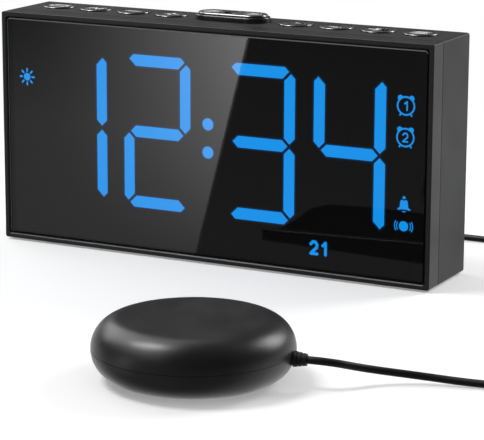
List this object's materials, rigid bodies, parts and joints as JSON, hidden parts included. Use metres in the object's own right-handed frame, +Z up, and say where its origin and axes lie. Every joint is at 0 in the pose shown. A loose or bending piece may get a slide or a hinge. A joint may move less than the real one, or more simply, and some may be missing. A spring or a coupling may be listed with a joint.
{
  "type": "bed shaker alarm clock",
  "caption": "wide digital alarm clock with lit digits behind a smoked lens, push keys and a snooze bar on top, and a corded round bed shaker",
  "frame": {"origin": "on the table, under the middle of the box round the clock and its shaker, the cord left out", "axes": "+Z up, -Y the way the display faces, +X to the right as seen by someone reading the display"},
  "size_m": [0.28, 0.25, 0.0933],
  "materials": {
    "frame_grey": "dark grey satin plastic",
    "case_grey": "darker grey fine textured plastic",
    "key_grey": "dark grey smooth plastic with worn-smooth rims",
    "shaker_black": "black soft-touch plastic",
    "cord_black": "black flexible insulation",
    "plug_black": "black moulded rubber",
    "rubber_black": "black grippy rubber",
    "smoked_lens": "smoked glossy clear acrylic",
    "mask_black": "black light mask",
    "lit_blue": "milky diffuser lit bright blue",
    "unlit_smoke": "smoked diffuser, not lit",
    "board_green": "green lacquered circuit board",
    "chip_black": "black moulded component packages",
    "led_white": "white lamp packages with clear tops",
    "switch_black": "black switch housings",
    "plunger_ivory": "ivory switch plungers",
    "socket_black": "black socket moulding",
    "plated_steel": "plated steel",
    "motor_steel": "plain drawn steel can",
    "speaker_black": "black lacquered steel basket",
    "cone_paper": "dark pressed paper cone",
    "cable_grey": "grey flat cable"
  },
  "bodies": {
    "clock": {"front_frame": "frame_grey", "rear_housing": "case_grey", "battery_door": "case_grey", "lens": "smoked_lens", "light_box": "mask_black", "digit_1": "lit_blue", "digit_2": "lit_blue", "digit_3": "lit_blue", "digit_4": "lit_blue", "colon_dots": "lit_blue", "status_signs": "lit_blue", "unlit_bars": "unlit_smoke", "display_board": "board_green", "display_leds": "led_white", "key_board": "board_green", "main_board": "board_green", "board_parts": "chip_black", "tact_switches": "switch_black", "dc_inlet": "socket_black", "usb_port": "plated_steel", "shaker_jack": "socket_black", "flat_cables": "cable_grey", "speaker_frame": "speaker_black", "speaker_cone": "cone_paper", "coin_cell": "plated_steel", "cell_contacts": "plated_steel", "feet": "rubber_black", "case_screws": "plated_steel", "board_screws": "plated_steel", "shaker_top": "shaker_black", "shaker_base": "shaker_black", "base_pad": "rubber_black", "motor": "motor_steel", "motor_clamp": "plated_steel", "strain_relief": "plug_black", "cord_run": "cord_black", "cord_coil": "cord_black", "cord_lead": "cord_black", "shaker_plug": "plug_black", "cord_tie": "plug_black"},
    "key_1_body": {"key_1": "key_grey", "plunger_1": "plunger_ivory"},
    "key_2_body": {"key_2": "key_grey", "plunger_2": "plunger_ivory"},
    "key_3_body": {"key_3": "key_grey", "plunger_3": "plunger_ivory"},
    "key_4_body": {"key_4": "key_grey", "plunger_4": "plunger_ivory"},
    "key_5_body": {"key_5": "key_grey", "plunger_5": "plunger_ivory"},
    "key_6_body": {"key_6": "key_grey", "plunger_6": "plunger_ivory"},
    "key_7_body": {"key_7": "key_grey", "plunger_7": "plunger_ivory"},
    "key_8_body": {"key_8": "key_grey", "plunger_8": "plunger_ivory"},
    "snooze_bar_body": {"snooze_bar": "key_grey", "plunger_snooze": "plunger_ivory"},
    "rotor": {"motor_shaft": "plated_steel", "eccentric_weight": "motor_steel"}
  },
  "joints": [
    {"name": "key_1_press", "type": "slide", "parent": "clock", "child": "key_1_body", "axis": [0, 0, -1], "range_m": [0, 0.0004], "stiffness_N_per_m": 800},
    {"name": "key_2_press", "type": "slide", "parent": "clock", "child": "key_2_body", "axis": [0, 0, -1], "range_m": [0, 0.0004], "stiffness_N_per_m": 800},
    {"name": "key_3_press", "type": "slide", "parent": "clock", "child": "key_3_body", "axis": [0, 0, -1], "range_m": [0, 0.0004], "stiffness_N_per_m": 800},
    {"name": "key_4_press", "type": "slide", "parent": "clock", "child": "key_4_body", "axis": [0, 0, -1], "range_m": [0, 0.0004], "stiffness_N_per_m": 800},
    {"name": "key_5_press", "type": "slide", "parent": "clock", "child": "key_5_body", "axis": [0, 0, -1], "range_m": [0, 0.0004], "stiffness_N_per_m": 800},
    {"name": "key_6_press", "type": "slide", "parent": "clock", "child": "key_6_body", "axis": [0, 0, -1], "range_m": [0, 0.0004], "stiffness_N_per_m": 800},
    {"name": "key_7_press", "type": "slide", "parent": "clock", "child": "key_7_body", "axis": [0, 0, -1], "range_m": [0, 0.0004], "stiffness_N_per_m": 800},
    {"name": "key_8_press", "type": "slide", "parent": "clock", "child": "key_8_body", "axis": [0, 0, -1], "range_m": [0, 0.0004], "stiffness_N_per_m": 800},
    {"name": "snooze_bar_press", "type": "slide", "parent": "clock", "child": "snooze_bar_body", "axis": [0, 0, -1], "range_m": [0, 0.0004], "stiffness_N_per_m": 800},
    {"name": "rotor_spin", "type": "hinge", "parent": "clock", "child": "rotor", "pos_m": [0.06177, -0.0664, 0.0103], "axis": [1, 0, 0], "continuous": true}
  ]
}
